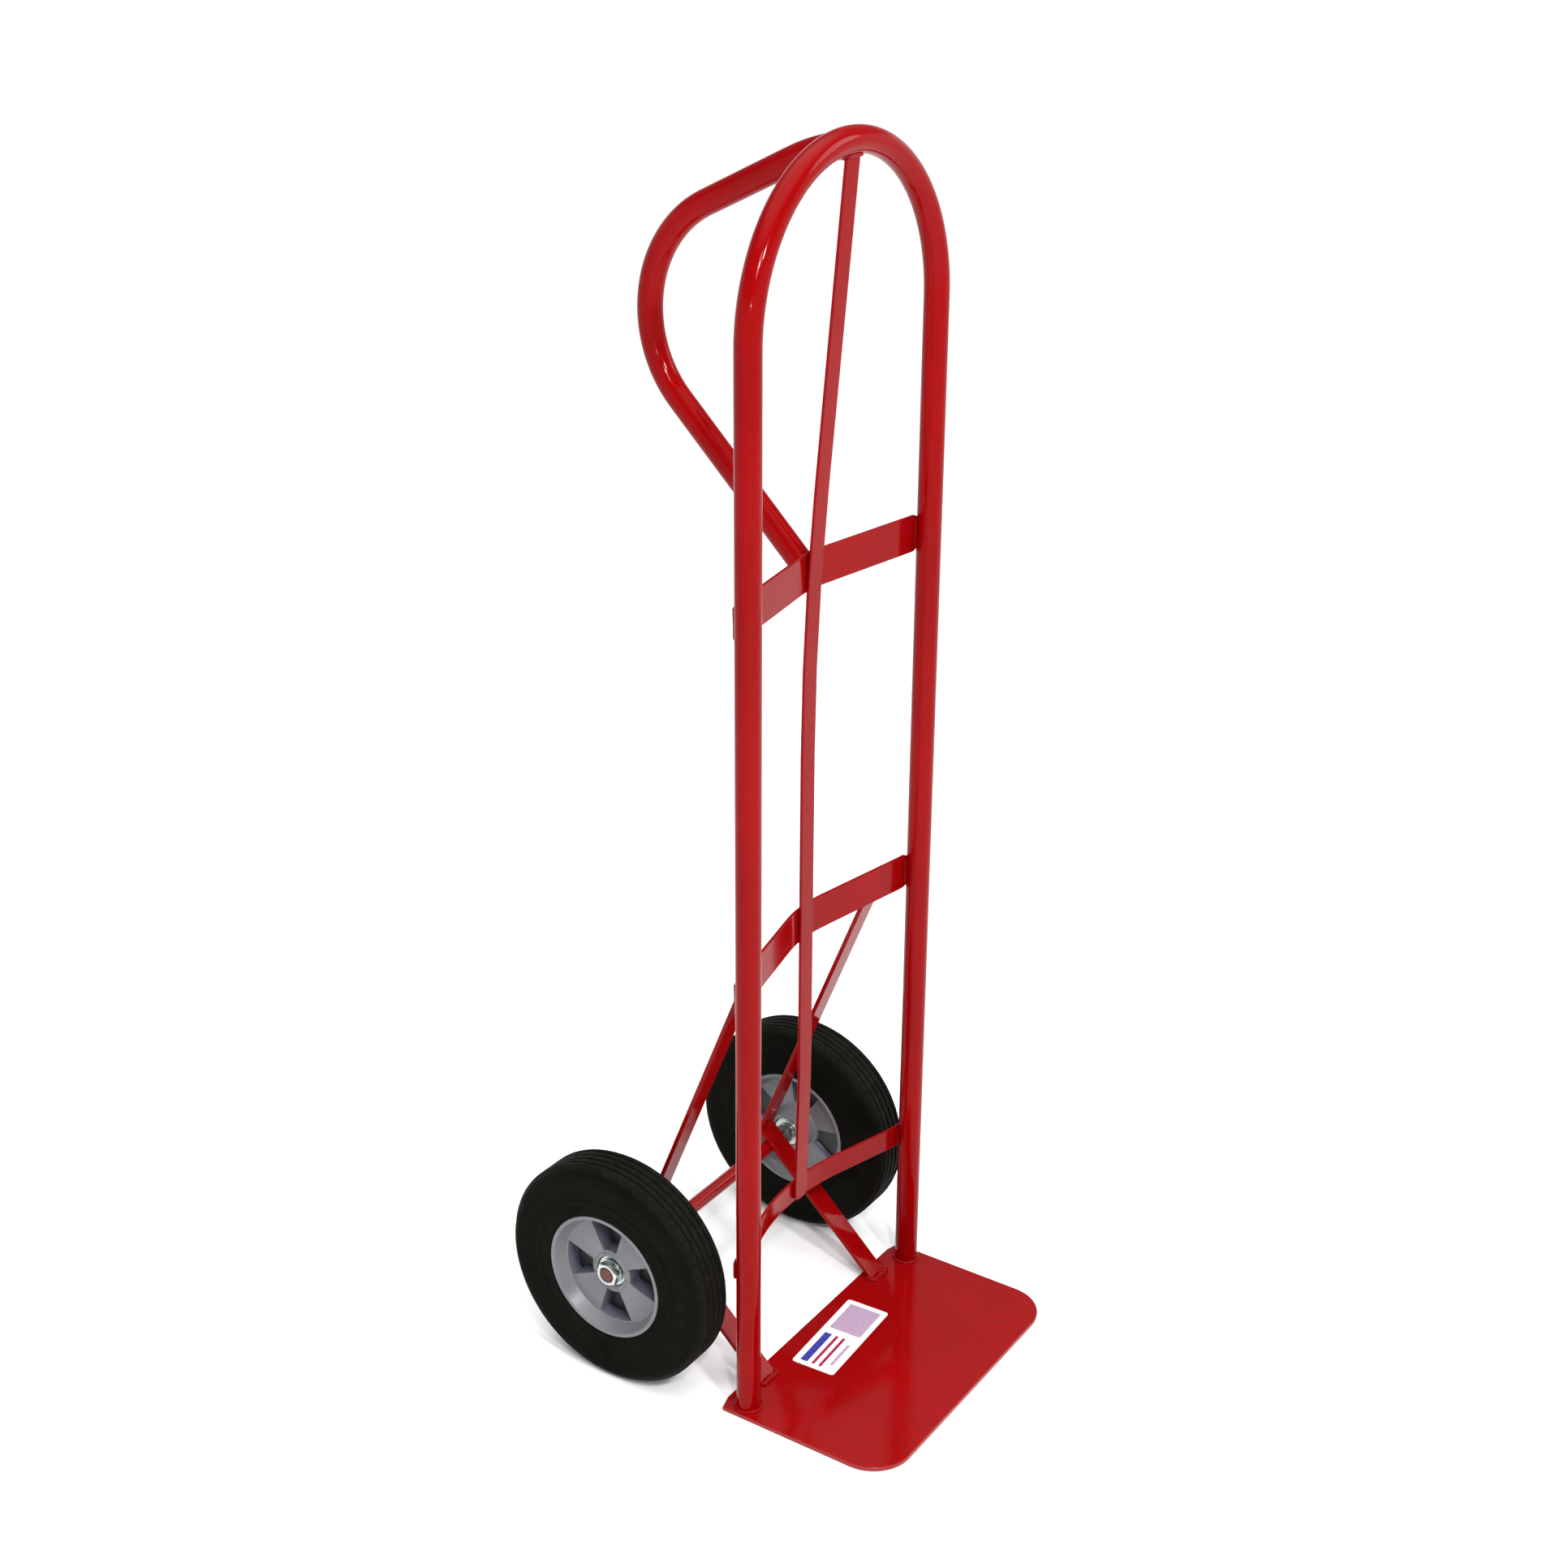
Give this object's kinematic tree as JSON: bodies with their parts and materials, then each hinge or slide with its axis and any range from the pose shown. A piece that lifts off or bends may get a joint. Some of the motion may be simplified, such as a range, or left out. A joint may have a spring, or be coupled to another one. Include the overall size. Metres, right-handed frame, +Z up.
{
  "type": "hand truck",
  "caption": "Tall steel hand truck: arched tube frame, bent tube rear grip, flat bar cross pieces, flat toe plate and solid-tyre wheels on a rear axle.",
  "frame": {"origin": "on the floor, under the middle of the bounding box", "axes": "+X across the truck to its right as seen from the toe plate, +Y backwards from the toe plate to the wheels, +Z up the frame"},
  "size_m": [0.4064, 0.463, 1.2842],
  "materials": {
    "red_enamel": "glossy red enamel over steel",
    "tyre_rubber": "matt black rubber",
    "hub_plastic": "smooth grey moulded plastic",
    "zinc_plate": "bright zinc plating",
    "label_film": "printed self-adhesive film"
  },
  "bodies": {
    "frame": {"frame_loop": "red_enamel", "rear_grip": "red_enamel", "upper_crossbar": "red_enamel", "middle_crossbar": "red_enamel", "lower_crossbar": "red_enamel", "center_strap": "red_enamel", "left_axle_bracket": "red_enamel", "right_axle_bracket": "red_enamel", "toe_plate": "red_enamel", "toe_plate_label": "label_film", "axle": "red_enamel", "left_outer_bearing_cone": "zinc_plate", "left_inner_bearing_cone": "zinc_plate", "left_axle_washer": "zinc_plate", "left_axle_spacer": "zinc_plate", "left_axle_nut": "zinc_plate", "right_outer_bearing_cone": "zinc_plate", "right_inner_bearing_cone": "zinc_plate", "right_axle_washer": "zinc_plate", "right_axle_spacer": "zinc_plate", "right_axle_nut": "zinc_plate"},
    "left_wheel": {"left_hub": "hub_plastic", "left_tyre": "tyre_rubber", "left_outer_bearing_cup": "zinc_plate", "left_inner_bearing_cup": "zinc_plate"},
    "right_wheel": {"right_hub": "hub_plastic", "right_tyre": "tyre_rubber", "right_outer_bearing_cup": "zinc_plate", "right_inner_bearing_cup": "zinc_plate"}
  },
  "joints": [
    {"name": "left_wheel_spin", "type": "hinge", "parent": "frame", "child": "left_wheel", "pos_m": [-0.176, 0.1045, 0.127], "axis": [1, 0, 0], "continuous": true},
    {"name": "right_wheel_spin", "type": "hinge", "parent": "frame", "child": "right_wheel", "pos_m": [0.176, 0.1045, 0.127], "axis": [1, 0, 0], "continuous": true}
  ]
}
